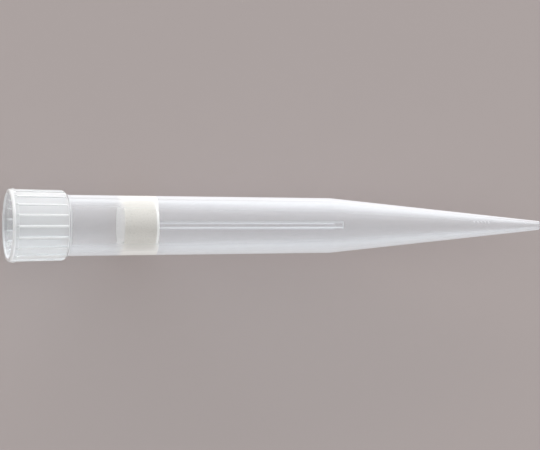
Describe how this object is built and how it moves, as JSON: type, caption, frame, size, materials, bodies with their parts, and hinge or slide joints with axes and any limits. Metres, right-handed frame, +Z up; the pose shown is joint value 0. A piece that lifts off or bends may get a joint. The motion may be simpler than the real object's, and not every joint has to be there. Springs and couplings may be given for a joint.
{
  "type": "filter pipette tip",
  "caption": "Disposable tip for a 1000 microlitre pipette: ribbed collar over a nozzle seat, tapered barrel holding a porous filter plug, long cone to a fine open point.",
  "frame": {"origin": "on the tip's axis, where the cylindrical nozzle seat begins inside the mouth", "axes": "the tip lies along X with its mouth facing -X and its point facing +X; +Z is up from the bench it lies on"},
  "size_m": [0.0785, 0.0108, 0.0108],
  "materials": {
    "natural_polypropylene": "satin, clear at the collar and milky along the barrel",
    "porous_polyethylene": "matt, fine open pores"
  },
  "bodies": {
    "root": {"tip_body": "natural_polypropylene", "filter_plug": "porous_polyethylene"}
  },
  "joints": []
}
